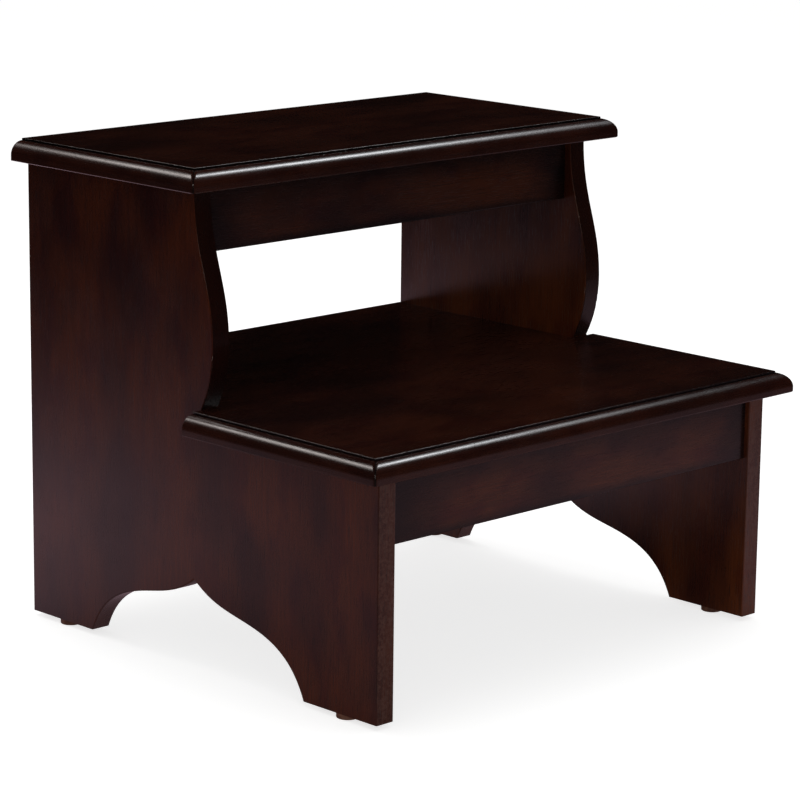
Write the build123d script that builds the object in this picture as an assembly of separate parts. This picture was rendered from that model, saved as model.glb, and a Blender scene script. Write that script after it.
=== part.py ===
from build123d import *
import os
from math import cos, radians, sin

# A two-tread wooden step stool, in millimetres.
# X runs across the stool, Y from the front (the lower step) to the back, Z up from the floor.
# The origin is on the floor, under the middle of the whole stool.

# Overall sizes
overall_width = 547.0         # across the outer edges of the treads
overall_depth = 487.0         # front edge of the lower tread to the back of the side panels
overall_height = 457.0        # floor to the top of the upper tread
lower_step_height = 241.0     # floor to the top of the lower tread

# Boards
panel_thickness = 20.0
tread_thickness = 20.0
apron_thickness = 20.0
upper_apron_height = 60.0
lower_apron_height = 62.0
arris = 1.2                   # easing on the long edges of panels and aprons

# How far the treads stand past the frame
side_overhang = 22.5          # tread past the outer face of a side panel
lower_nosing = 18.5           # lower tread ahead of the side panels
upper_nosing = 25.0           # upper tread ahead of the side panels at their top
upper_tread_setback = 4.5     # back edge of the upper tread ahead of the panels' back edge
tread_fit = 0.25              # gap round the lower tread where it passes between the panels

# Front edge of a side panel above the lower tread: a neck, a swelling brow and a straight top
upper_panel_depth = 233.5     # panel's depth at its top
neck_forward = 9.5            # neck ahead of the top's front edge
brow_forward = 24.7           # brow ahead of the top's front edge
brow_rise = 58.4              # brow above the lower tread
brow_pull = 0.40              # how long the curve stays upright at the brow, as a share of its run
top_pull = 0.45               # the same at the top

# Arch cut out of the bottom of a side panel, which leaves two feet
front_foot = 92.0
rear_foot = 88.0
spring_angle = 67.0           # the arch leaves a foot at this slope
spring_pull = 37.5
shoulder_run = 76.0           # from the foot to the shoulder of the arch
shoulder_rise = 53.7
shoulder_angle = 12.0
shoulder_pull_down = 36.6
shoulder_pull_up = 25.8
peak_rise = 79.0              # pointed middle of the arch above the feet
peak_angle = 38.0
peak_pull = 27.8

# Aprons and rails between the side panels
upper_apron_recess = 6.5      # apron behind the panels' front edge at their top
lower_apron_recess = 5.0      # apron behind the panels' front edge below
rear_recess = 5.0             # rear apron and rear rail ahead of the panels' back edge

# Solid-wood moulding round the front and sides of each tread, tongued and mitred
moulding_width = 13.0
moulding_drop = 2.0           # top of the moulding below the flat of the tread
ovolo_height = 13.0
moulding_under_radius = 1.5
field_arris = 0.5
tongue_length = 6.0
tongue_thickness = 6.0
tongue_height = 5.5           # underside of the tongue above the underside of the tread
tongue_side_clearance = 0.1
tongue_end_clearance = 0.5

# Battens under the treads
cleat_width = 18.0
cleat_height = 18.0
cleat_end_gap = 1.0

# Wooden dowels
dowel_radius = 4.0
dowel_length = 30.0
dowel_panel_depth = 11.0      # into a panel, from an apron's end
dowel_tread_depth = 11.0      # into a tread, from a panel's top edge
dowel_end_clearance = 0.5
apron_dowel_spacing = 32.0
upper_tread_dowel_margin = 50.0
lower_tread_dowel_margin = 45.0
upper_tread_dowels = 3
lower_tread_dowels = 3

# Countersunk wood screws
screw_length = 32.0
screw_radius = 2.0
screw_head_radius = 4.0
screw_head_height = 2.4
screw_tip_length = 5.0
screw_clearance = 0.3         # round a screw where it passes through a batten
recess_width = 1.0            # cross recess in the head
recess_length = 4.6
recess_depth = 1.4
upper_side_screw_margin = 42.0
upper_tread_screw_margin = 20.0
lower_side_screw_margin = 60.0
lower_tread_screw_margin = 25.0
upper_side_screws = 2
upper_tread_screws = 2
lower_side_screws = 3
lower_tread_screws = 4

# Nailed glides under the feet
glide_radius = 10.0
glide_height = 5.0
glide_arris = 1.0
nail_radius = 1.2
nail_head_radius = 4.0
nail_head_thickness = 1.2
nail_head_cover = 2.0         # plastic under the nail's head
nail_length = 20.0

# Where the faces of the frame come
half_width = overall_width / 2
panel_outer = half_width - side_overhang
panel_inner = panel_outer - panel_thickness
panel_middle = (panel_outer + panel_inner) / 2
back = overall_depth / 2
front = -back
panel_front = front + lower_nosing
panel_bottom = glide_height
upper_panel_front = back - upper_panel_depth
upper_tread_bottom = overall_height - tread_thickness
lower_tread_bottom = lower_step_height - tread_thickness
neck = upper_panel_front - neck_forward
brow = upper_panel_front - brow_forward
brow_height = lower_step_height + brow_rise
arch_front = panel_front + front_foot
arch_back = back - rear_foot

upper_tread_front = upper_panel_front - upper_nosing
upper_tread_back = back - upper_tread_setback
field_half_width = half_width - moulding_width
upper_field_front = upper_tread_front + moulding_width
lower_field_front = front + moulding_width

# An apron's place: front face, underside and height
upper_apron_front = upper_panel_front + upper_apron_recess
lower_apron_front = panel_front + lower_apron_recess
rear_apron_front = back - rear_recess - apron_thickness
upper_apron = (upper_tread_bottom - upper_apron_height, upper_apron_height)
lower_apron = (lower_tread_bottom - lower_apron_height, lower_apron_height)
apron_places = {
    "upper_front_apron": (upper_apron_front, *upper_apron),
    "upper_rear_apron": (rear_apron_front, *upper_apron),
    "lower_front_apron": (lower_apron_front, *lower_apron),
    "lower_rear_rail": (rear_apron_front, *lower_apron),
}

# A batten's run: front end, back end and the underside of the tread that it carries
cleat_back = rear_apron_front - cleat_end_gap
upper_cleat = (upper_apron_front + apron_thickness + cleat_end_gap, cleat_back, upper_tread_bottom)
lower_cleat = (lower_apron_front + apron_thickness + cleat_end_gap, cleat_back, lower_tread_bottom)

both_sides = (1, -1)


def spread(start, end, margin, count):
    """Places evenly between two ends, the outermost ones a margin in from them."""
    first, last = start + margin, end - margin
    return [first + (last - first) * step / (count - 1) for step in range(count)]


def block(low, high):
    """A square-edged block between two corners."""
    size = [b - a for a, b in zip(low, high)]
    return Pos(*low) * Box(*size, align=(Align.MIN, Align.MIN, Align.MIN))


def cut(body, tools):
    """A body with every tool cut out of it, as one solid."""
    for tool in tools:
        body = body - tool
    return body


def place(start, axis, piece):
    """A piece made along +Z, put at a point with its Z along an axis."""
    return Plane(origin=start, z_dir=axis).location * piece


# ---- places of the fasteners, on one side of the stool or on both ----

def apron_dowel_starts():
    """Where each dowel of the aprons starts, inside a side panel, and the side that it is on."""
    starts = []
    for apron_front, bottom, height in apron_places.values():
        middle = bottom + height / 2
        for z in (middle - apron_dowel_spacing / 2, middle + apron_dowel_spacing / 2):
            for side in both_sides:
                x = side * (panel_inner + dowel_panel_depth)
                starts.append(((x, apron_front + apron_thickness / 2, z), side))
    return starts


def tread_dowel_starts():
    """The top of each dowel between a panel's top edge and a tread."""
    upper = spread(upper_panel_front, back, upper_tread_dowel_margin, upper_tread_dowels)
    lower = spread(panel_front, neck, lower_tread_dowel_margin, lower_tread_dowels)
    starts = [(y, upper_tread_bottom + dowel_tread_depth) for y in upper]
    starts += [(y, lower_tread_bottom + dowel_tread_depth) for y in lower]
    return [(side * panel_middle, y, z) for y, z in starts for side in both_sides]


def side_screw_heads():
    """Where the head of each screw from a batten into a side panel sits, and its side."""
    heads = []
    for run, margin, count in ((upper_cleat, upper_side_screw_margin, upper_side_screws),
                               (lower_cleat, lower_side_screw_margin, lower_side_screws)):
        height = run[2] - cleat_height / 2
        for y in spread(run[0], run[1], margin, count):
            for side in both_sides:
                heads.append(((side * (panel_inner - cleat_width), y, height), side))
    return heads


def tread_screw_heads():
    """Where the head of each screw from a batten up into a tread sits."""
    heads = []
    for run, margin, count in ((upper_cleat, upper_tread_screw_margin, upper_tread_screws),
                               (lower_cleat, lower_tread_screw_margin, lower_tread_screws)):
        for y in spread(run[0], run[1], margin, count):
            for side in both_sides:
                heads.append((side * (panel_inner - cleat_width / 2), y, run[2] - cleat_height))
    return heads


def glide_places():
    """Middle of each glide, named by its corner."""
    rows = {"front": panel_front + front_foot / 2, "rear": back - rear_foot / 2}
    return {f"{row}_{name}_glide": (side * panel_middle, y)
            for row, y in rows.items() for name, side in (("left", -1), ("right", 1))}


# ---- fasteners ----

def dowel():
    """A plain dowel along +Z with eased ends."""
    bar = Cylinder(dowel_radius, dowel_length, align=(Align.CENTER, Align.CENTER, Align.MIN))
    return chamfer(bar.edges().filter_by(GeomType.CIRCLE), 0.8)


def dowel_bore(start, axis):
    """The bore that a dowel lies in, with room at both ends."""
    length = dowel_length + 2 * dowel_end_clearance
    return place(start, axis, Pos(0, 0, -dowel_end_clearance)
                 * Cylinder(dowel_radius, length, align=(Align.CENTER, Align.CENTER, Align.MIN)))


def screw():
    """A countersunk wood screw along +Z, its head's face at the bottom."""
    outline = Polyline((0, 0), (screw_head_radius, 0), (screw_radius, screw_head_height),
                       (screw_radius, screw_length - screw_tip_length), (0, screw_length), (0, 0))
    body = revolve(Plane.XZ * make_face(outline), Axis.Z)
    slot = Box(recess_length, recess_width, 2 * recess_depth)
    return cut(body, [slot, Rot(0, 0, 90) * slot])


def screw_bore(start, axis, thickness):
    """Countersink and clearance through a batten, then a snug pilot bore as deep as the screw."""
    gap = screw_clearance
    outline = Polyline((0, 0), (screw_head_radius + gap, 0), (screw_radius + gap, screw_head_height),
                       (screw_radius + gap, thickness), (screw_radius, thickness),
                       (screw_radius, screw_length), (0, screw_length), (0, 0))
    return place(start, axis, revolve(Plane.XZ * make_face(outline), Axis.Z))


def nail():
    """A glide's nail along +Z, with its head at the bottom."""
    head = Cylinder(nail_head_radius, nail_head_thickness,
                    align=(Align.CENTER, Align.CENTER, Align.MIN))
    outline = Polyline((0, 0), (nail_radius, 0), (nail_radius, nail_length - 2 * nail_radius),
                       (0, nail_length), (0, 0))
    return head + revolve(Plane.XZ * make_face(outline), Axis.Z)


def placed_nails():
    """Every glide's nail where it sits, by the glide's name."""
    return {name: Pos(x, y, nail_head_cover) * nail() for name, (x, y) in glide_places().items()}


def all_dowel_bores():
    """Bores for every dowel, cut from whatever they pass through."""
    bores = [dowel_bore(start, (-side, 0, 0)) for start, side in apron_dowel_starts()]
    return bores + [dowel_bore(start, (0, 0, -1)) for start in tread_dowel_starts()]


def all_screw_bores():
    """Bores for every screw, cut from the battens, the panels and the treads."""
    bores = [screw_bore(start, (side, 0, 0), cleat_width) for start, side in side_screw_heads()]
    return bores + [screw_bore(start, (0, 0, 1), cleat_height) for start in tread_screw_heads()]


def near(body, tools):
    """The tools that reach into a body's own box."""
    box = body.bounding_box()
    return [tool for tool in tools if box.overlaps(tool.bounding_box())]


# ---- side panels ----

def arch_half(foot_end, direction):
    """Half of the arch, from a foot up to the pointed middle."""
    def at(run, rise):
        return (foot_end + direction * run, panel_bottom + rise)

    def pulled(run, rise, angle, pull):
        return at(run + pull * cos(radians(angle)), rise + pull * sin(radians(angle)))

    peak_run = (arch_back - arch_front) / 2
    lower = Bezier(at(0, 0), pulled(0, 0, spring_angle, spring_pull),
                   pulled(shoulder_run, shoulder_rise, shoulder_angle, -shoulder_pull_down),
                   at(shoulder_run, shoulder_rise))
    upper = Bezier(at(shoulder_run, shoulder_rise),
                   pulled(shoulder_run, shoulder_rise, shoulder_angle, shoulder_pull_up),
                   pulled(peak_run, peak_rise, peak_angle, -peak_pull), at(peak_run, peak_rise))
    return [lower, upper]


def panel_outline():
    """A side panel's outline, across Y and Z."""
    neck_edge = neck + tread_fit
    run = upper_tread_bottom - brow_height
    front_and_notch = Polyline((arch_front, panel_bottom), (panel_front, panel_bottom),
                               (panel_front, lower_tread_bottom), (neck_edge, lower_tread_bottom),
                               (neck_edge, lower_step_height))
    neck_curve = TangentArc((brow, brow_height), (neck_edge, lower_step_height), tangent=(0, -1))
    brow_curve = Bezier((brow, brow_height), (brow, brow_height + run * brow_pull),
                        (upper_panel_front, upper_tread_bottom - run * top_pull),
                        (upper_panel_front, upper_tread_bottom))
    top_and_back = Polyline((upper_panel_front, upper_tread_bottom), (back, upper_tread_bottom),
                            (back, panel_bottom), (arch_back, panel_bottom))
    return make_face([front_and_notch, neck_curve, brow_curve, top_and_back,
                      *arch_half(arch_front, 1), *arch_half(arch_back, -1)])


def is_free(edge):
    """Whether a panel's long edge is eased: it carries no tread and stands on no floor."""
    middle = edge.center()
    below = panel_bottom + arris < middle.Z < lower_tread_bottom - arris
    above = lower_step_height < middle.Z < upper_tread_bottom - arris
    return below or above or middle.Y > back - arris


def right_panel():
    """The right side panel, bored for its dowels, screws and glide nails."""
    board = Pos(panel_inner, 0, 0) * extrude(Plane.YZ * panel_outline(), amount=panel_thickness)
    faces = board.faces().filter_by(Axis.X)
    long_edges = [edge for face in faces for edge in face.edges() if is_free(edge)]
    board = fillet(long_edges, arris)
    tools = all_dowel_bores() + all_screw_bores() + list(placed_nails().values())
    return cut(board, near(board, tools))


# ---- treads ----

def moulding_section():
    """Section of the edge moulding: outward from the board's edge, and up from its underside."""
    top = tread_thickness - moulding_drop
    radius = moulding_under_radius
    under = Polyline((0, top), (0, 0), (moulding_width - radius, 0))
    corner = TangentArc((moulding_width - radius, 0), (moulding_width, radius), tangent=(1, 0))
    edge = Line((moulding_width, radius), (moulding_width, top - ovolo_height))
    ovolo = EllipticalCenterArc((0, top - ovolo_height), moulding_width, ovolo_height,
                                start_angle=0, arc_size=90)
    groove_height = tongue_thickness + 2 * tongue_side_clearance
    groove = Pos(0, tongue_height - tongue_side_clearance) * Rectangle(
        tongue_length + tongue_end_clearance, groove_height, align=(Align.MIN, Align.MIN))
    return make_face([under, corner, edge, ovolo]) - groove


def prism(corners, bottom, height):
    """A flat plan shape, given its corners, raised to a height."""
    return Pos(0, 0, bottom) * extrude(make_face(Polyline(*corners, close=True)), amount=height)


def front_moulding(field_front, bottom):
    """The moulding along a tread's front, mitred at both ends."""
    outer = field_front - moulding_width
    section = Plane(origin=(half_width, field_front, bottom), x_dir=(0, -1, 0), z_dir=(-1, 0, 0))
    length = extrude(section * moulding_section(), amount=overall_width)
    plan = [(-field_half_width, field_front), (field_half_width, field_front),
            (half_width, outer), (-half_width, outer)]
    return length & prism(plan, bottom, tread_thickness)


def right_moulding(field_front, end, bottom):
    """The moulding along a tread's right side, mitred in front and square behind."""
    outer = field_front - moulding_width
    section = Plane(origin=(field_half_width, outer, bottom), x_dir=(1, 0, 0), z_dir=(0, -1, 0))
    length = extrude(section * moulding_section(), amount=-(end - outer))
    plan = [(field_half_width, field_front), (half_width, outer), (half_width, end),
            (field_half_width, end)]
    return length & prism(plan, bottom, tread_thickness)


def tongued_board(field, field_front, tongue_end, bottom):
    """A tread's board: its field, eased on top, and the tongue round its front and sides."""
    field = fillet(field.edges().group_by(Axis.Z)[-1], field_arris)
    reach = field_half_width + tongue_length
    low = (-reach, field_front - tongue_length, bottom + tongue_height)
    tongue = block(low, (reach, tongue_end, low[2] + tongue_thickness))
    board = field + tongue
    return cut(board, near(board, all_dowel_bores() + all_screw_bores()))


def upper_board():
    """The upper tread's rectangular board."""
    field = block((-field_half_width, upper_field_front, upper_tread_bottom),
                  (field_half_width, upper_tread_back, overall_height))
    return tongued_board(field, upper_field_front, upper_tread_back, upper_tread_bottom)


def lower_board():
    """The lower tread's T-shaped board: wide in front, and between the panels behind."""
    inner = panel_inner - tread_fit
    right = [(field_half_width, lower_field_front), (field_half_width, neck), (inner, neck),
             (inner, back)]
    left = [(-x, y) for x, y in reversed(right)]
    field = prism(right + left, lower_tread_bottom, tread_thickness)
    return tongued_board(field, lower_field_front, neck, lower_tread_bottom)


# ---- aprons, rails and battens ----

def apron(name):
    """A board on edge between the panels, eased below and bored at its ends."""
    apron_front, bottom, height = apron_places[name]
    board = block((-panel_inner, apron_front, bottom),
                  (panel_inner, apron_front + apron_thickness, bottom + height))
    board = fillet(board.edges().filter_by(Axis.X).group_by(Axis.Z)[0], arris)
    return cut(board, near(board, all_dowel_bores()))


def right_cleat(run):
    """The batten on the right panel's inner face that carries a tread."""
    cleat_front, cleat_end, top = run
    board = block((panel_inner - cleat_width, cleat_front, top - cleat_height),
                  (panel_inner, cleat_end, top))
    return cut(board, near(board, all_screw_bores()))


def glide(name):
    """A round glide under a foot, moulded round its nail's head."""
    x, y = glide_places()[name]
    disc = Cylinder(glide_radius, glide_height, align=(Align.CENTER, Align.CENTER, Align.MIN))
    disc = fillet(disc.edges().filter_by(GeomType.CIRCLE).group_by(Axis.Z)[0], glide_arris)
    return Pos(x, y, 0) * disc - placed_nails()[name]


# ---- the whole stool ----

def mirrored(name, right_piece):
    """A right-hand piece and its left-hand mirror image, by name."""
    return {f"right_{name}": right_piece, f"left_{name}": mirror(right_piece, about=Plane.YZ)}


def tread_mouldings(level, field_front, side_end, bottom):
    """The three mouldings of one tread, by name."""
    right = right_moulding(field_front, side_end, bottom)
    return {
        f"{level}_tread_front_moulding": front_moulding(field_front, bottom),
        f"{level}_tread_right_moulding": right,
        f"{level}_tread_left_moulding": mirror(right, about=Plane.YZ),
    }


def all_nodes():
    """Every node's name and its solid, or its group of separate solids."""
    nodes = mirrored("side_panel", right_panel())
    nodes["upper_tread_board"] = upper_board()
    nodes |= tread_mouldings("upper", upper_field_front, upper_tread_back, upper_tread_bottom)
    nodes["lower_tread_board"] = lower_board()
    nodes |= tread_mouldings("lower", lower_field_front, neck, lower_tread_bottom)
    nodes |= {name: apron(name) for name in apron_places}
    nodes |= mirrored("upper_cleat", right_cleat(upper_cleat))
    nodes |= mirrored("lower_cleat", right_cleat(lower_cleat))
    nodes |= {name: glide(name) for name in glide_places()}
    nodes["apron_dowels"] = Compound(
        children=[place(start, (-side, 0, 0), dowel()) for start, side in apron_dowel_starts()])
    nodes["tread_dowels"] = Compound(
        children=[place(start, (0, 0, -1), dowel()) for start in tread_dowel_starts()])
    nodes["cleat_side_screws"] = Compound(
        children=[place(start, (side, 0, 0), screw()) for start, side in side_screw_heads()])
    nodes["cleat_tread_screws"] = Compound(
        children=[place(start, (0, 0, 1), screw()) for start in tread_screw_heads()])
    nodes["glide_nails"] = Compound(children=list(placed_nails().values()))
    return nodes


os.makedirs("parts", exist_ok=True)
for node, shape in all_nodes().items():
    export_step(shape, f"parts/{node}.step")
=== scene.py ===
import math

import bmesh
import bpy
from mathutils import Matrix, Vector


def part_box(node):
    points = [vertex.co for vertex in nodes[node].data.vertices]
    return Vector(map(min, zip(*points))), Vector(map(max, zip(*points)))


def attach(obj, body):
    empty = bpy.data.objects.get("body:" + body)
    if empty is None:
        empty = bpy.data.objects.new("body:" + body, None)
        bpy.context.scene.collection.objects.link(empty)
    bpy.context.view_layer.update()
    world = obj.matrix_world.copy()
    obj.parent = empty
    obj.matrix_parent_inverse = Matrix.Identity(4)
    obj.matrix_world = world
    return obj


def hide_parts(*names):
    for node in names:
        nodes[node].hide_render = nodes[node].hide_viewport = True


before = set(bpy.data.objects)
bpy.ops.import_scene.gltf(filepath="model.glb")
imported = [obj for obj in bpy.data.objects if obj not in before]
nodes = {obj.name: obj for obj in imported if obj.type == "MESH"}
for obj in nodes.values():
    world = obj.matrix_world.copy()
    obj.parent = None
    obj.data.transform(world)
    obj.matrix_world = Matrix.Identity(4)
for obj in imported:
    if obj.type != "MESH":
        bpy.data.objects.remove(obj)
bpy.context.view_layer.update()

# Looks of a two-tread step stool in dark lacquered wood, in metres.
# X runs across the stool, Y from the lower step in front to the back, Z up from the floor.

MM = 0.001
NEAR = 0.01 * MM              # points this close are taken to be in one place

# Solid-wood moulding round the treads
OVOLO_RADIUS = 13 * MM
OVOLO_STEPS = 18
OVOLO_QUIRK = 0.06 * MM       # sliver left flat beside the tread's field
UNDER_RADIUS = 1.0 * MM
UNDER_STEPS = 6
CORNER_EASING = 2.8 * MM      # sanded arris where two mouldings meet
CORNER_STEPS = 5
SHARP_FROM = math.radians(38)  # edges that turn more than this are shaded sharp
GROOVE_LOW = 5.4 * MM         # groove for the tread's tongue, above the moulding's underside
GROOVE_HIGH = 11.6 * MM
GROOVE_DEPTH = 6.5 * MM
END_WASTE = 10 * MM           # sawn off the back ends once the groove is cut


# ---- mesh work ----

def cut_away(bm, point, normal):
    """Saw a closed mesh along a plane, drop what lies beyond it and close the cut."""
    geometry = bm.verts[:] + bm.edges[:] + bm.faces[:]
    cut = bmesh.ops.bisect_plane(bm, geom=geometry, dist=1e-7, plane_co=point,
                                 plane_no=normal, clear_outer=True)
    rim = [item for item in cut["geom_cut"] if isinstance(item, bmesh.types.BMEdge)]
    bmesh.ops.contextual_create(bm, geom=rim)
    bmesh.ops.recalc_face_normals(bm, faces=bm.faces[:])


def bevel(bm, edges, offset, segments):
    """Round edges of a mesh."""
    bmesh.ops.bevel(bm, geom=edges, offset=offset, segments=segments, profile=0.5,
                    affect="EDGES", material=-1)


def box_mesh(low, high):
    """A plain block between two corners, as a bmesh."""
    bm = bmesh.new()
    bmesh.ops.create_cube(bm, size=1)
    size = Vector(high) - Vector(low)
    bmesh.ops.scale(bm, vec=size, verts=bm.verts[:])
    bmesh.ops.translate(bm, vec=(Vector(low) + Vector(high)) / 2, verts=bm.verts[:])
    return bm


def piece_from(bm, name, replaced):
    """Make a finished mesh a piece of the stool that stands for a CAD node."""
    mesh = bpy.data.meshes.new(name)
    bm.to_mesh(mesh)
    bm.free()
    for polygon in mesh.polygons:
        polygon.use_smooth = True
    mesh.set_sharp_from_angle(angle=SHARP_FROM)
    piece = bpy.data.objects.new(name, mesh)
    bpy.context.scene.collection.objects.link(piece)
    weighted = piece.modifiers.new("weighted normals", "WEIGHTED_NORMAL")
    weighted.keep_sharp = True
    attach(piece, "root")
    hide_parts(replaced)
    return piece


def moulded_slab(level):
    """A slab as wide as a tread, with the moulding's shape round its front and sides."""
    low, front_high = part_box(f"{level}_tread_front_moulding")
    side_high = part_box(f"{level}_tread_right_moulding")[1]
    high = Vector((front_high.x, side_high.y + END_WASTE, front_high.z))
    bm = box_mesh(low, high)

    def rim(height):
        flat = [edge for edge in bm.edges
                if all(abs(vert.co.z - height) < NEAR for vert in edge.verts)]
        return [edge for edge in flat
                if not all(abs(vert.co.y - high.y) < NEAR for vert in edge.verts)]

    bevel(bm, rim(high.z), OVOLO_RADIUS - OVOLO_QUIRK, OVOLO_STEPS)
    bevel(bm, rim(low.z), UNDER_RADIUS, UNDER_STEPS)

    def on_mitre(vert, side):
        inset = high.x - side * vert.co.x
        return abs(inset - (vert.co.y - low.y)) < NEAR and inset < OVOLO_RADIUS - 0.5 * MM

    for side in (1, -1):
        arris = [edge for edge in bm.edges
                 if all(on_mitre(vert, side) for vert in edge.verts) and edge.calc_length() > NEAR]
        bevel(bm, arris, CORNER_EASING, CORNER_STEPS)
    return bm


def cut_groove(bm, wall_point, outward):
    """Plough the groove for the tread's tongue into a moulding's inner wall."""
    outward = Vector(outward)
    bottom = min(vert.co.z for vert in bm.verts)
    walls = [face for face in bm.faces if face.normal.dot(-outward) > 0.999
             and abs((face.calc_center_median() - Vector(wall_point)).dot(outward)) < NEAR]
    for height in (GROOVE_LOW, GROOVE_HIGH):
        geometry = set(walls)
        for face in walls:
            geometry.update(face.verts)
            geometry.update(face.edges)
        cut = bmesh.ops.bisect_plane(bm, geom=list(geometry), dist=1e-7,
                                     plane_co=(0, 0, bottom + height), plane_no=(0, 0, 1))
        walls = [item for item in cut["geom"] if isinstance(item, bmesh.types.BMFace)]
    middle = bottom + (GROOVE_LOW + GROOVE_HIGH) / 2
    strip = [face for face in walls if abs(face.calc_center_median().z - middle) < 1 * MM]
    floor = bmesh.ops.extrude_discrete_faces(bm, faces=strip)["faces"]
    verts = {vert for face in floor for vert in face.verts}
    bmesh.ops.translate(bm, vec=outward * GROOVE_DEPTH, verts=list(verts))


def tread_mouldings(level):
    """The three mouldings round a tread, sawn from one moulded slab, so that they meet exactly."""
    slab = moulded_slab(level)
    low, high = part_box(f"{level}_tread_front_moulding")
    field_front = high.y
    side_low, side_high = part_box(f"{level}_tread_right_moulding")
    field_side = side_low.x
    pieces = {}
    front = slab.copy()
    cut_away(front, (0, field_front, 0), (0, 1, 0))
    cut_groove(front, (0, field_front, 0), (0, -1, 0))
    for side in (1, -1):
        cut_away(front, (side * field_side, field_front, 0), (side, 1, 0))
    name = f"{level}_tread_front_moulding"
    pieces["front"] = piece_from(front, name + "_shaped", name)
    for side, word in ((1, "right"), (-1, "left")):
        bm = slab.copy()
        cut_away(bm, (side * field_side, 0, 0), (-side, 0, 0))
        cut_groove(bm, (side * field_side, 0, 0), (side, 0, 0))
        cut_away(bm, (side * field_side, field_front, 0), (-side, -1, 0))
        cut_away(bm, (0, side_high.y, 0), (0, 1, 0))
        name = f"{level}_tread_{word}_moulding"
        pieces[word] = piece_from(bm, name + "_shaped", name)
    slab.free()
    return pieces


# ---- shader building ----

def add(tree, kind, inputs=None, **settings):
    """Add a node, with its settings, and its inputs as values or as sockets to link."""
    node = tree.nodes.new(kind)
    for name, value in settings.items():
        setattr(node, name, value)
    for name, value in (inputs or {}).items():
        if isinstance(value, bpy.types.NodeSocket):
            tree.links.new(value, node.inputs[name])
        else:
            node.inputs[name].default_value = value
    return node


def maths(tree, operation, *values, clamp=False):
    """A Math node's result."""
    node = add(tree, "ShaderNodeMath", dict(enumerate(values)), operation=operation, use_clamp=clamp)
    return node.outputs[0]


def scaled(tree, vector, factors):
    """A vector multiplied, part by part."""
    return add(tree, "ShaderNodeVectorMath", {0: vector, 1: factors}, operation="MULTIPLY").outputs[0]


def ramp(tree, value, start, end, low=0.0, high=1.0):
    """A value's smooth rise from low to high as it goes from start to end."""
    node = add(tree, "ShaderNodeMapRange",
               {"Value": value, "From Min": start, "From Max": end, "To Min": low, "To Max": high},
               interpolation_type="SMOOTHSTEP")
    return node.outputs["Result"]


def noise(tree, vector, scale, detail=2.0, roughness=0.5):
    """Soft noise over a vector."""
    node = add(tree, "ShaderNodeTexNoise",
               {"Vector": vector, "Scale": scale, "Detail": detail, "Roughness": roughness})
    return node.outputs["Fac"]


def blend_colours(tree, amount, first, second, kind="MIX"):
    """A colour between two others."""
    node = add(tree, "ShaderNodeMix", data_type="RGBA", blend_type=kind)
    for index, value in ((0, amount), (6, first), (7, second)):
        if isinstance(value, bpy.types.NodeSocket):
            tree.links.new(value, node.inputs[index])
        else:
            node.inputs[index].default_value = value
    return node.outputs[2]


def new_group(name, inputs, outputs):
    """A shader node group with named sockets: the tree, its inputs and its outputs."""
    tree = bpy.data.node_groups.new(name, "ShaderNodeTree")
    for label, kind, value in inputs:
        socket = tree.interface.new_socket(label, in_out="INPUT", socket_type=kind)
        if value is not None:
            socket.default_value = value
    for label, kind in outputs:
        tree.interface.new_socket(label, in_out="OUTPUT", socket_type=kind)
    return tree, tree.nodes.new("NodeGroupInput").outputs, tree.nodes.new("NodeGroupOutput").inputs


FLOAT = "NodeSocketFloat"
VECTOR = "NodeSocketVector"


def make_wood_grain():
    """Grain of wood that runs along the vector's X: broad streaks, fine fibres and open pores."""
    tree, given, result = new_group(
        "wood grain",
        [("Vector", VECTOR, None), ("Waver", FLOAT, 0.004)],
        [("Streaks", FLOAT), ("Fibres", FLOAT), ("Pores", FLOAT)])
    wander = add(tree, "ShaderNodeTexNoise", {"Vector": given["Vector"], "Scale": 9.0, "Detail": 1.0})
    centred = add(tree, "ShaderNodeVectorMath", {0: wander.outputs["Color"], 1: (0.5, 0.5, 0.5)},
                  operation="SUBTRACT").outputs[0]
    shift = add(tree, "ShaderNodeVectorMath", {0: centred, "Scale": given["Waver"]},
                operation="SCALE").outputs[0]
    path = add(tree, "ShaderNodeVectorMath", {0: given["Vector"], 1: shift}, operation="ADD").outputs[0]
    tree.links.new(noise(tree, scaled(tree, path, (0.07, 1, 1)), 85.0, 3.0, 0.55), result["Streaks"])
    tree.links.new(noise(tree, scaled(tree, path, (0.03, 1, 1)), 620.0, 2.0, 0.6), result["Fibres"])
    dashes = noise(tree, scaled(tree, path, (0.05, 1, 1)), 1300.0, 1.0, 0.5)
    tree.links.new(ramp(tree, dashes, 0.58, 0.70), result["Pores"])
    return tree


def make_stain_clouds():
    """Blotches where stain and glaze took darker, a little longer along the vector's X."""
    tree, given, result = new_group(
        "stain clouds",
        [("Vector", VECTOR, None), ("Scale", FLOAT, 22.0)],
        [("Clouds", FLOAT), ("Spots", FLOAT)])
    path = scaled(tree, given["Vector"], (0.5, 1, 1))
    broad = noise(tree, path, given["Scale"], 2.0, 0.55)
    tree.links.new(ramp(tree, broad, 0.32, 0.72), result["Clouds"])
    finer = maths(tree, "MULTIPLY", given["Scale"], 2.4)
    spots = noise(tree, path, finer, 2.0, 0.5)
    tree.links.new(ramp(tree, spots, 0.40, 0.75), result["Spots"])
    return tree


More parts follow.
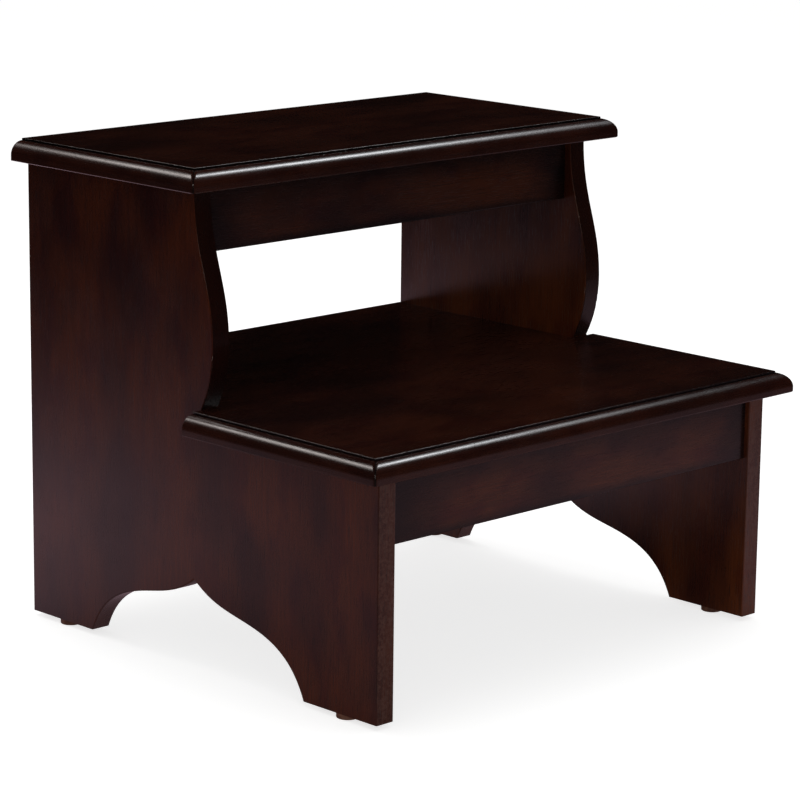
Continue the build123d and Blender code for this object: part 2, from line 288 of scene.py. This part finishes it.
def make_board_border():
    """How near a point is to the border of a board centred on the vector's origin, in X and Y."""
    tree, given, result = new_group(
        "board border",
        [("Vector", VECTOR, None), ("Half Length", FLOAT, 0.25), ("Half Width", FLOAT, 0.03),
         ("End Reach", FLOAT, 0.06), ("Top Reach", FLOAT, 0.034), ("Bottom Reach", FLOAT, 0.010)],
        [("Border", FLOAT)])
    parts = add(tree, "ShaderNodeSeparateXYZ", {0: given["Vector"]}).outputs
    ends = maths(tree, "DIVIDE", maths(tree, "SUBTRACT", given["Half Length"],
                                       maths(tree, "ABSOLUTE", parts["X"])), given["End Reach"])
    top = maths(tree, "DIVIDE", maths(tree, "SUBTRACT", given["Half Width"], parts["Y"]),
                given["Top Reach"])
    bottom = maths(tree, "DIVIDE", maths(tree, "ADD", given["Half Width"], parts["Y"]),
                   given["Bottom Reach"])
    nearest = maths(tree, "SMOOTH_MIN", ends, maths(tree, "MINIMUM", top, bottom), 0.4)
    tree.links.new(ramp(tree, nearest, 0.0, 1.0, 1.0, 0.0), result["Border"])
    return tree


def make_frame_seams():
    """Painted shade, with some gathered glaze, in a tread's step beside the field and its mitred
    corners.
    """
    tree, given, result = new_group(
        "frame seams",
        [("Vector", VECTOR, None), ("Field Side", FLOAT, 0.26), ("Field Front", FLOAT, -0.23),
         ("Step Reach", FLOAT, 0.0022), ("Mitre Reach", FLOAT, 0.0018)],
        [("Step", FLOAT), ("Mitre", FLOAT)])
    parts = add(tree, "ShaderNodeSeparateXYZ", {0: given["Vector"]}).outputs
    beyond_side = maths(tree, "SUBTRACT", maths(tree, "ABSOLUTE", parts["X"]), given["Field Side"])
    beyond_front = maths(tree, "SUBTRACT", given["Field Front"], parts["Y"])
    beyond = maths(tree, "MAXIMUM", beyond_side, beyond_front)
    past_arris = ramp(tree, beyond, -0.00025, -0.00005)
    near_field = ramp(tree, maths(tree, "DIVIDE", beyond, given["Step Reach"]), 0.25, 1.0, 1.0, 0.0)
    tree.links.new(maths(tree, "MULTIPLY", past_arris, near_field), result["Step"])
    off_mitre = maths(tree, "ABSOLUTE", maths(tree, "SUBTRACT", beyond_side, beyond_front))
    near_mitre = ramp(tree, maths(tree, "DIVIDE", off_mitre, given["Mitre Reach"]), 0.3, 1.0, 1.0, 0.0)
    tree.links.new(maths(tree, "MULTIPLY", past_arris, near_mitre), result["Mitre"])
    return tree


def make_panel_edges():
    """The long edges of an upright panel: one mask above a height, and one below it."""
    tree, given, result = new_group(
        "panel edges",
        [("Vector", VECTOR, None), ("Height", FLOAT, 0.24)],
        [("Upper", FLOAT), ("Lower", FLOAT)])
    across = add(tree, "ShaderNodeSeparateXYZ",
                 {0: add(tree, "ShaderNodeNewGeometry").outputs["Normal"]}).outputs["X"]
    edge = ramp(tree, maths(tree, "ABSOLUTE", across), 0.25, 0.75, 1.0, 0.0)
    height = add(tree, "ShaderNodeSeparateXYZ", {0: given["Vector"]}).outputs["Z"]
    above = ramp(tree, maths(tree, "SUBTRACT", height, given["Height"]), -0.004, 0.004)
    tree.links.new(maths(tree, "MULTIPLY", edge, above), result["Upper"])
    below = maths(tree, "SUBTRACT", 1.0, above)
    tree.links.new(maths(tree, "MULTIPLY", edge, below), result["Lower"])
    return tree


def make_rubbed_edges():
    """Where an arris is rubbed: a mask from how fast the surface turns, broken up along the edge."""
    tree, given, result = new_group(
        "rubbed edges",
        [("Vector", VECTOR, None), ("Radius", FLOAT, 0.0012)],
        [("Rub", FLOAT)])
    rounded = add(tree, "ShaderNodeBevel", {"Radius": given["Radius"]}, samples=4).outputs[0]
    surface = add(tree, "ShaderNodeNewGeometry").outputs["Normal"]
    agreement = add(tree, "ShaderNodeVectorMath", {0: rounded, 1: surface},
                    operation="DOT_PRODUCT").outputs["Value"]
    turn = ramp(tree, agreement, 0.985, 0.90)
    broken = ramp(tree, noise(tree, given["Vector"], 140.0, 3.0, 0.6), 0.42, 0.62)
    tree.links.new(maths(tree, "MULTIPLY", turn, broken), result["Rub"])
    return tree


def make_handling():
    """Faint smears and hair scratches in a polished surface, for its roughness."""
    tree, given, result = new_group(
        "handling", [("Vector", VECTOR, None)], [("Smears", FLOAT), ("Scratches", FLOAT)])
    smears = noise(tree, given["Vector"], 16.0, 3.0, 0.6)
    tree.links.new(ramp(tree, smears, 0.35, 0.70), result["Smears"])
    turned = add(tree, "ShaderNodeMapping", {"Vector": given["Vector"], "Rotation": (0.4, 0.7, 0.9)})
    lines = noise(tree, scaled(tree, turned.outputs[0], (0.02, 1, 1)), 1500.0, 1.0, 0.4)
    tree.links.new(ramp(tree, lines, 0.66, 0.72), result["Scratches"])
    return tree


def use(tree, group, **inputs):
    """Place a node group in a material; an underscore stands for a space in a socket's name."""
    node = add(tree, "ShaderNodeGroup", node_tree=group)
    for name, value in inputs.items():
        socket = node.inputs[name.replace("_", " ")]
        if isinstance(value, bpy.types.NodeSocket):
            tree.links.new(value, socket)
        else:
            socket.default_value = value
    return node.outputs


wood_grain = make_wood_grain()
stain_clouds = make_stain_clouds()
board_border = make_board_border()
frame_seams = make_frame_seams()
panel_edges = make_panel_edges()
rubbed_edges = make_rubbed_edges()
handling = make_handling()


def new_material(name):
    """A material with a Principled shader and Object coordinates: tree, shader and position."""
    material = bpy.data.materials.new(name)
    material.use_nodes = True
    tree = material.node_tree
    tree.nodes.clear()
    shader = add(tree, "ShaderNodeBsdfPrincipled")
    output = add(tree, "ShaderNodeOutputMaterial")
    tree.links.new(shader.outputs[0], output.inputs["Surface"])
    position = add(tree, "ShaderNodeTexCoord").outputs["Object"]
    return material, tree, shader.inputs, position


# A turn that lays each row axis along a pattern's X, where the grain runs
GRAIN_TURN = {"X": (0, 0, 0), "Y": (0, 0, math.radians(-90)), "Z": (0, math.radians(90), 0)}

# Colours of the finish, from thin stain to the darkest glaze
WARM_BROWN = (0.070, 0.0136, 0.0036, 1)
RED_BROWN = (0.050, 0.0078, 0.0036, 1)
DARK_GLAZE = (0.0125, 0.0030, 0.0040, 1)
TREAD_BROWN = (0.042, 0.0105, 0.0054, 1)
TREAD_RED = (0.030, 0.0066, 0.0040, 1)
TREAD_GLAZE = (0.011, 0.0034, 0.0026, 1)
EDGE_BROWN = (0.036, 0.0080, 0.0042, 1)
EDGE_RED = (0.026, 0.0052, 0.0032, 1)
# Edge glaze: glaze in the mouldings' blotches, and painted shade on the panels' upper shaped edges
EDGE_GLAZE_AND_SHADE = (0.010, 0.0026, 0.0020, 1)
RUBBED_WOOD = (0.110, 0.036, 0.018, 1)
# Paler edge grain, also painted light on the panels' lower shaped edges
EDGE_GRAIN_AND_LIGHT = (0.088, 0.038, 0.027, 1)
# Painted shade, with glaze, towards the borders of the aprons
BORDER_SHADE_AND_GLAZE = (0.0040, 0.0022, 0.0026, 1)
PORE_FILLER = (0.0060, 0.0024, 0.0020, 1)
# Painted shade, with gathered glaze, in the treads' steps and mitred corners
SEAM_SHADE_AND_GLAZE = (0.0012, 0.0008, 0.0008, 1)

# The place in the wood's pattern that each large board is cut from
CUT_FROM = {"left_side_panel": 1.08, "right_side_panel": 7.24, "upper_front_apron": 3.39,
            "lower_front_apron": 2.62, "upper_tread_board": 3.39, "lower_tread_board": 2.62}
PLAIN_CUT = 0.31


def lacquered_wood(name, grain, centre, colours, cut_from=PLAIN_CUT, cloud_scale=24.0,
                   clouds=0.80, pores=0.45, rub=0.30, border=None, seams=None, shade_and_glaze_strength=0.92,
                   edges=None, roughness=0.22, smearing=0.05, relief=0.10):
    """Stained, glazed and lacquered wood.

    The grain runs along a row axis. Centre is the board's middle. The middle and cut_from, a place
    in the pattern, give each board a figure of its own.
    Border is (half length, half width) of a board on edge, given painted shade and glaze towards its
    edges.
    Seams is (field side, field front) of a tread; painted shade and glaze darken its step and mitres.
    Edges is the height above which a panel's shaped edges get painted shade and glaze, and below which
    they are paler with worn edge grain and painted light.
    """
    warm, red, glaze = colours
    material, tree, shader, position = new_material(name)
    centred = add(tree, "ShaderNodeMapping",
                  {"Vector": position, "Location": [-value for value in centre]}).outputs[0]
    laid = add(tree, "ShaderNodeMapping", {"Vector": centred, "Rotation": GRAIN_TURN[grain]}).outputs[0]
    own = add(tree, "ShaderNodeMapping",
              {"Vector": laid, "Location": [7.3 * value + cut_from for value in centre]}).outputs[0]
    grained = use(tree, wood_grain, Vector=own)
    clouded = use(tree, stain_clouds, Vector=own, Scale=cloud_scale)
    handled = use(tree, handling, Vector=own)
    figure = maths(tree, "ADD", maths(tree, "MULTIPLY", clouded["Spots"], 0.65),
                   maths(tree, "MULTIPLY", grained["Streaks"], 0.35))
    colour = blend_colours(tree, ramp(tree, figure, 0.15, 0.75), warm, red)
    shade = ramp(tree, grained["Fibres"], 0.25, 0.75, 0.80, 1.18)
    colour = blend_colours(tree, 1.0, colour, shade, "MULTIPLY")
    colour = blend_colours(tree, maths(tree, "MULTIPLY", clouded["Clouds"], clouds), colour, glaze)
    # Painted shade, with glaze, darkens the board towards its borders: under the tread above and beside
    # the panels
    if border:
        upright = add(tree, "ShaderNodeMapping",
                      {"Vector": centred, "Rotation": (math.radians(-90), 0, 0)}).outputs[0]
        edge = use(tree, board_border, Vector=upright, Half_Length=border[0],
                   Half_Width=border[1])["Border"]
        ragged = ramp(tree, clouded["Spots"], 0.0, 1.0, 0.80, 1.0)
        colour = blend_colours(tree, maths(tree, "MULTIPLY", edge, ragged), colour, BORDER_SHADE_AND_GLAZE)
    # Painted shade, with glaze, on the shaped edges above the height; painted light, with worn edge
    # grain, below it
    if edges:
        shaped = use(tree, panel_edges, Vector=position, Height=edges)
        colour = blend_colours(tree, maths(tree, "MULTIPLY", shaped["Upper"], 0.85), colour, EDGE_GLAZE_AND_SHADE)
        worn = ramp(tree, noise(tree, own, 320.0, 3.0, 0.65), 0.40, 0.62, 0.25, 0.95)
        paler_and_lit = maths(tree, "MULTIPLY", worn, ramp(tree, grained["Fibres"], 0.3, 0.7, 0.55, 1.0))
        paler_and_lit = maths(tree, "MULTIPLY", shaped["Lower"], paler_and_lit)
        colour = blend_colours(tree, paler_and_lit, colour, EDGE_GRAIN_AND_LIGHT)
    colour = blend_colours(tree, maths(tree, "MULTIPLY", grained["Pores"], pores), colour, PORE_FILLER)
    rubbed = maths(tree, "MULTIPLY", use(tree, rubbed_edges, Vector=own)["Rub"], rub)
    colour = blend_colours(tree, rubbed, colour, RUBBED_WOOD)
    # Painted shade, with gathered glaze, in the step beside the field and along the mitres
    if seams:
        seam_shade_and_glaze = use(tree, frame_seams, Vector=position, Field_Side=seams[0], Field_Front=seams[1])
        dark = maths(tree, "MAXIMUM", seam_shade_and_glaze["Step"], seam_shade_and_glaze["Mitre"])
        colour = blend_colours(tree, maths(tree, "MULTIPLY", dark, shade_and_glaze_strength), colour, SEAM_SHADE_AND_GLAZE)
    tree.links.new(colour, shader["Base Color"])

    gloss = ramp(tree, handled["Smears"], 0.0, 1.0, roughness - smearing / 2, roughness + smearing)
    gloss = maths(tree, "ADD", gloss, maths(tree, "MULTIPLY", grained["Pores"], 0.08))
    gloss = maths(tree, "ADD", gloss, maths(tree, "MULTIPLY", handled["Scratches"], 0.06))
    gloss = maths(tree, "ADD", gloss, maths(tree, "MULTIPLY", rubbed, 0.15))
    tree.links.new(gloss, shader["Roughness"])
    height = maths(tree, "MULTIPLY", grained["Pores"], -0.7)
    height = maths(tree, "ADD", height, maths(tree, "MULTIPLY", grained["Fibres"], 0.35))
    bump = add(tree, "ShaderNodeBump", {"Height": height, "Strength": relief, "Distance": 0.0005})
    tree.links.new(bump.outputs[0], shader["Normal"])
    shader["IOR"].default_value = 1.5
    coat = ramp(tree, handled["Smears"], 0.0, 1.0, 0.37, 0.33)
    if edges:
        coat = maths(tree, "MULTIPLY", coat, maths(tree, "SUBTRACT", 1.0, shaped["Upper"]))
    tree.links.new(coat, shader["Coat Weight"])
    shader["Coat Roughness"].default_value = 0.18
    shader["Coat IOR"].default_value = 1.5
    return material


def bare_wood(name, grain, centre, pale, dark, roughness=0.6):
    """Unlacquered or thinly finished wood with plain grain."""
    material, tree, shader, position = new_material(name)
    own = add(tree, "ShaderNodeMapping",
              {"Vector": position, "Location": [3.1 * value + 0.17 for value in centre],
               "Rotation": GRAIN_TURN[grain]}).outputs[0]
    grained = use(tree, wood_grain, Vector=own, Waver=0.010)
    colour = blend_colours(tree, ramp(tree, grained["Streaks"], 0.30, 0.70), pale, dark)
    shade = ramp(tree, grained["Fibres"], 0.25, 0.75, 0.85, 1.12)
    colour = blend_colours(tree, 1.0, colour, shade, "MULTIPLY")
    tree.links.new(colour, shader["Base Color"])
    tree.links.new(ramp(tree, grained["Fibres"], 0.3, 0.7, roughness - 0.06, roughness + 0.08),
                   shader["Roughness"])
    bump = add(tree, "ShaderNodeBump",
               {"Height": grained["Fibres"], "Strength": 0.35, "Distance": 0.0004})
    tree.links.new(bump.outputs[0], shader["Normal"])
    return material


def zinc_plate(name):
    """Zinc-plated steel: grey-gold, brushed by handling and dulled in patches."""
    material, tree, shader, position = new_material(name)
    handled = use(tree, handling, Vector=position)
    patches = noise(tree, position, 420.0, 3.0, 0.6)
    tree.links.new(blend_colours(tree, ramp(tree, patches, 0.35, 0.65), (0.62, 0.58, 0.48, 1),
                                 (0.42, 0.40, 0.35, 1)), shader["Base Color"])
    rough = ramp(tree, patches, 0.3, 0.7, 0.26, 0.42)
    tree.links.new(maths(tree, "ADD", rough, maths(tree, "MULTIPLY", handled["Scratches"], 0.1)),
                   shader["Roughness"])
    bump = add(tree, "ShaderNodeBump", {"Height": patches, "Strength": 0.2, "Distance": 0.0001})
    tree.links.new(bump.outputs[0], shader["Normal"])
    shader["Metallic"].default_value = 1.0
    return material


def moulded_plastic(name, colour, scuffed):
    """Moulded plastic with a fine texture, scuffed where it slides on floors."""
    material, tree, shader, position = new_material(name)
    grit = noise(tree, position, 1800.0, 2.0, 0.6)
    patches = noise(tree, position, 190.0, 3.0, 0.6)
    worn = use(tree, rubbed_edges, Vector=position, Radius=0.0009)["Rub"]
    tint = blend_colours(tree, ramp(tree, patches, 0.35, 0.7), colour, scuffed)
    tree.links.new(blend_colours(tree, maths(tree, "MULTIPLY", worn, 0.6), tint, scuffed),
                   shader["Base Color"])
    tree.links.new(ramp(tree, grit, 0.3, 0.7, 0.40, 0.58), shader["Roughness"])
    bump = add(tree, "ShaderNodeBump", {"Height": grit, "Strength": 0.25, "Distance": 0.0002})
    tree.links.new(bump.outputs[0], shader["Normal"])
    return material


# ---- finishes on the pieces ----

FRAME_COLOURS = (WARM_BROWN, RED_BROWN, DARK_GLAZE)
# Right panel's colours: a thinner glaze, and lighter as painted light for its inner face
THINNER_AND_LIT_COLOURS = ((0.125, 0.0300, 0.0080, 1), (0.090, 0.0180, 0.0064, 1), (0.022, 0.0052, 0.0046, 1))
APRON_COLOURS = ((0.068, 0.0155, 0.0050, 1), (0.052, 0.0088, 0.0044, 1), (0.016, 0.0044, 0.0050, 1))
TREAD_COLOURS = (TREAD_BROWN, TREAD_RED, TREAD_GLAZE)
EDGE_COLOURS = (EDGE_BROWN, EDGE_RED, EDGE_GLAZE_AND_SHADE)


def finish(target, material):
    """Give a whole piece one material."""
    target.data.materials.clear()
    target.data.materials.append(material)


def finish_node(name, material):
    """Give a CAD node one material, in its own slots."""
    for slot in nodes[name].material_slots:
        slot.material = material


def middle(name):
    """The middle of a CAD node's box."""
    low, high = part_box(name)
    return (low + high) / 2


def finish_frame():
    """Panels upright in the grain, aprons lengthwise and darker towards their edges with painted shade
    and glaze.
    """
    for side in ("left", "right"):
        name = f"{side}_side_panel"
        # Painted light: the right panel takes lighter colours than the left, besides a thinner glaze
        colours = FRAME_COLOURS if side == "left" else THINNER_AND_LIT_COLOURS
        tread_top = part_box("lower_tread_board")[1].z
        finish_node(name, lacquered_wood(f"{side} panel lacquer", "Z", middle(name), colours,
                                         CUT_FROM[name], cloud_scale=14.0, clouds=0.75,
                                         edges=tread_top))
    for name in ("upper_front_apron", "upper_rear_apron", "lower_front_apron", "lower_rear_rail"):
        low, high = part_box(name)
        half_length, half_width = (high.x - low.x) / 2, (high.z - low.z) / 2
        finish_node(name, lacquered_wood(name.replace("_", " ") + " lacquer", "X", middle(name),
                                         APRON_COLOURS, CUT_FROM.get(name, PLAIN_CUT),
                                         cloud_scale=20.0, clouds=0.80, pores=0.20,
                                         border=(half_length, half_width)))


def finish_treads():
    """Treads with their grain across the stool; mouldings with the grain along their length."""
    for level in ("upper", "lower"):
        board = f"{level}_tread_board"
        field_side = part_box(f"{level}_tread_right_moulding")[0].x
        field_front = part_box(f"{level}_tread_front_moulding")[1].y
        # The board's step face beside the mouldings gets painted shade through its seams
        finish_node(board, lacquered_wood(f"{level} tread lacquer", "X", middle(board), TREAD_COLOURS,
                                          CUT_FROM[board], cloud_scale=14.0, clouds=0.75,
                                          pores=0.35, seams=(field_side, field_front),
                                          roughness=0.20, smearing=0.02, relief=0.06))
        for word, piece in tread_mouldings(level).items():
            grain = "X" if word == "front" else "Y"
            centre = middle(f"{level}_tread_{word}_moulding")
            # The front moulding's step gets stronger painted shade than the side ones
            finish(piece, lacquered_wood(f"{level} {word} moulding lacquer", grain, centre,
                                         EDGE_COLOURS, cloud_scale=20.0, clouds=0.5, pores=0.20,
                                         roughness=0.24, smearing=0.03, relief=0.02,
                                         seams=(field_side, field_front),
                                         shade_and_glaze_strength=0.95 if word == "front" else 0.60))


def finish_hidden():
    """Battens, dowels, screws, nails and glides."""
    stained = ((0.085, 0.034, 0.018, 1), (0.050, 0.019, 0.011, 1))
    for side in ("left", "right"):
        for level in ("upper", "lower"):
            name = f"{side}_{level}_cleat"
            finish_node(name, bare_wood(f"{side} {level} cleat stain", "Y", middle(name), *stained))
    beech = ((0.56, 0.38, 0.21, 1), (0.44, 0.27, 0.14, 1))
    finish_node("apron_dowels", bare_wood("beech across", "X", middle("apron_dowels"), *beech))
    finish_node("tread_dowels", bare_wood("beech upright", "Z", middle("tread_dowels"), *beech))
    zinc = zinc_plate("zinc plate")
    for name in ("cleat_side_screws", "cleat_tread_screws", "glide_nails"):
        finish_node(name, zinc)
    brown = moulded_plastic("brown glide plastic", (0.115, 0.034, 0.016, 1), (0.19, 0.075, 0.040, 1))
    for row in ("front", "rear"):
        for side in ("left", "right"):
            finish_node(f"{row}_{side}_glide", brown)


finish_frame()
finish_treads()
finish_hidden()


# ---- studio: floor, lights and camera ----

FLOOR_HALF = 60.0
# Pools of light on the floor: middle, height of the lamp over them, strength,
# and the stool's shadow in them: middle, half size and softness
MIRRORED_POOLS = (((-0.10, 0.80, 0), 0.55, 1.60, (0.0, -0.20, 0), (0.34, 0.33), 0.16),
                  ((0.60, -0.50, 0), 0.95, 0.23, (0.0, 0.0, 0), (0.25, 0.23), 0.04))
BOUNCED_POOLS = (((-0.62, -0.50, 0), 0.50, 1.40, (0.0, 0.0, 0), (0.22, 0.20), 0.06),
                 ((0.50, -0.75, 0), 0.65, 1.00, (0.0, 0.0, 0), (0.22, 0.20), 0.06))
MIRRORED_COLOUR = (1.0, 0.66, 0.78, 1)
BOUNCED_COLOUR = (1.0, 0.94, 0.90, 1)


def pooled_light(tree, position, pools, rest):
    """Brightness of a floor under lamps that stand low over it, with the stool's soft shadow."""
    light = 0.0
    for centre, height, strength, shadow_centre, (half_x, half_y), softness in pools:
        away = add(tree, "ShaderNodeVectorMath", {0: position, 1: centre},
                   operation="DISTANCE").outputs["Value"]
        spread = maths(tree, "ADD", maths(tree, "POWER", maths(tree, "DIVIDE", away, height), 2.0), 1.0)
        pool = maths(tree, "DIVIDE", strength, maths(tree, "MULTIPLY", spread, spread))
        offset = add(tree, "ShaderNodeVectorMath", {0: position, 1: shadow_centre},
                     operation="SUBTRACT").outputs[0]
        parts = add(tree, "ShaderNodeSeparateXYZ", {0: offset}).outputs
        past_x = maths(tree, "SUBTRACT", maths(tree, "ABSOLUTE", parts["X"]), half_x)
        past_y = maths(tree, "SUBTRACT", maths(tree, "ABSOLUTE", parts["Y"]), half_y)
        lit = ramp(tree, maths(tree, "MAXIMUM", past_x, past_y), -softness, softness, 0.05, 1.0)
        light = maths(tree, "ADD", light, maths(tree, "MULTIPLY", pool, lit))
    return maths(tree, "ADD", light, maths(tree, "MULTIPLY", lit, rest))


def make_floor():
    """A plain pale floor; the lacquer sees only the pools of light near the stool."""
    mesh = bpy.data.meshes.new("floor")
    bm = bmesh.new()
    bmesh.ops.create_grid(bm, x_segments=1, y_segments=1, size=FLOOR_HALF)
    bm.to_mesh(mesh)
    bm.free()
    floor = bpy.data.objects.new("floor", mesh)
    bpy.context.scene.collection.objects.link(floor)
    material = bpy.data.materials.new("pale floor")
    material.use_nodes = True
    tree = material.node_tree
    tree.nodes.clear()
    rays = add(tree, "ShaderNodeLightPath").outputs
    matt = add(tree, "ShaderNodeBsdfDiffuse", {"Color": (0.80, 0.80, 0.80, 1)})
    lift = add(tree, "ShaderNodeEmission", {"Color": (1, 1, 1, 1), "Strength": 0.74})
    seen = add(tree, "ShaderNodeAddShader", {0: matt.outputs[0], 1: lift.outputs[0]})
    position = add(tree, "ShaderNodeTexCoord").outputs["Object"]
    mirrored = add(tree, "ShaderNodeEmission",
                   {"Color": MIRRORED_COLOUR,
                    "Strength": pooled_light(tree, position, MIRRORED_POOLS, 0.002)})
    bounced = add(tree, "ShaderNodeEmission",
                  {"Color": BOUNCED_COLOUR,
                   "Strength": pooled_light(tree, position, BOUNCED_POOLS, 0.12)})
    unseen = add(tree, "ShaderNodeMixShader",
                 {0: rays["Is Glossy Ray"], 1: bounced.outputs[0], 2: mirrored.outputs[0]})
    whole = add(tree, "ShaderNodeMixShader",
                {0: rays["Is Camera Ray"], 1: unseen.outputs[0], 2: seen.outputs[0]})
    add(tree, "ShaderNodeOutputMaterial", {"Surface": whole.outputs[0]})
    mesh.materials.append(material)


def make_world():
    """Soft even light from all round, dark where the lacquer would mirror it."""
    world = bpy.data.worlds.new("studio")
    bpy.context.scene.world = world
    world.use_nodes = True
    tree = world.node_tree
    tree.nodes.clear()
    rays = add(tree, "ShaderNodeLightPath").outputs
    soft = add(tree, "ShaderNodeBackground", {"Color": (1.0, 0.99, 0.98, 1), "Strength": 0.32})
    dark = add(tree, "ShaderNodeBackground", {"Color": (1.0, 0.7, 0.7, 1), "Strength": 0.002})
    pale = add(tree, "ShaderNodeBackground", {"Color": (1, 1, 1, 1), "Strength": 1.05})
    lit = add(tree, "ShaderNodeMixShader",
              {0: rays["Is Glossy Ray"], 1: soft.outputs[0], 2: dark.outputs[0]})
    whole = add(tree, "ShaderNodeMixShader",
                {0: rays["Is Camera Ray"], 1: lit.outputs[0], 2: pale.outputs[0]})
    add(tree, "ShaderNodeOutputWorld", {"Surface": whole.outputs[0]})


def softbox(name, place, target, width, height, watts, colour=(1, 1, 1), mirrored=True):
    """A rectangular soft light that the lacquer only mirrors, or that only lights its colour."""
    light = bpy.data.lights.new(name, "AREA")
    light.shape = "RECTANGLE"
    light.size = width
    light.size_y = height
    light.energy = watts
    light.color = colour
    lamp = bpy.data.objects.new(name, light)
    bpy.context.scene.collection.objects.link(lamp)
    lamp.location = place
    lamp.rotation_euler = (Vector(target) - Vector(place)).to_track_quat("-Z", "Y").to_euler()
    lamp.visible_camera = False
    lamp.visible_diffuse = not mirrored
    lamp.visible_glossy = mirrored
    return lamp


def make_lights():
    """Boxes that draw the bright lines on the mouldings and corners, and soft ones for the colour."""
    warm, cool, rosy = (1.0, 0.93, 0.90), (0.94, 0.97, 1.0), (1.0, 0.86, 0.80)
    back, right = ((-0.65, 1.53, 1.87), (-0.27, 0.0, 0.34)), ((1.13, -0.18, 1.84), (-0.2, -0.20, 0.34))
    softbox("back box core", *back, 0.55, 0.36, 4.0, warm)
    softbox("back box rim", *back, 1.20, 0.50, 2.8, warm)
    softbox("right box core", *right, 0.35, 0.40, 6.0, cool)
    softbox("right box rim", *right, 0.80, 0.85, 4.0, cool)
    softbox("front box", (-1.78, -1.58, 1.50), (-0.27, -0.14, 0.33), 0.20, 1.10, 7, rosy)
    softbox("back fill", (-0.2, 1.9, 0.75), (0, 0.1, 0.28), 0.8, 0.5, 5, mirrored=False)
    softbox("top", (0.2, 0.2, 2.8), (0, 0, 0.2), 2.2, 2.2, 23, mirrored=False)


# Where the camera stands: turned to the stool's left front, a little above it
CAMERA_AZIMUTH = math.radians(-44.49)
CAMERA_ELEVATION = math.radians(12.76)
CAMERA_ROLL = math.radians(0.68)
CAMERA_DISTANCE = 3.0086
CAMERA_TARGET = Vector((0.0087, 0.0156, 0.2087))
CAMERA_LENS = 143.92


def make_camera():
    """The camera, aimed by its two angles at a point inside the stool."""
    back = Vector((math.sin(CAMERA_AZIMUTH) * math.cos(CAMERA_ELEVATION),
                   -math.cos(CAMERA_AZIMUTH) * math.cos(CAMERA_ELEVATION),
                   math.sin(CAMERA_ELEVATION)))
    right = (-back).cross(Vector((0, 0, 1))).normalized()
    up = right.cross(-back)
    turn = Matrix.Rotation(CAMERA_ROLL, 3, back)
    axes = Matrix((turn @ right, turn @ up, back)).transposed()
    camera = bpy.data.cameras.new("camera")
    camera.lens = CAMERA_LENS
    camera.sensor_width = 36
    camera.clip_end = 200
    holder = bpy.data.objects.new("camera", camera)
    bpy.context.scene.collection.objects.link(holder)
    holder.matrix_world = Matrix.Translation(CAMERA_TARGET + back * CAMERA_DISTANCE) @ axes.to_4x4()
    bpy.context.scene.camera = holder


make_floor()
make_world()
make_lights()
make_camera()
bpy.context.scene.view_settings.view_transform = "Standard"
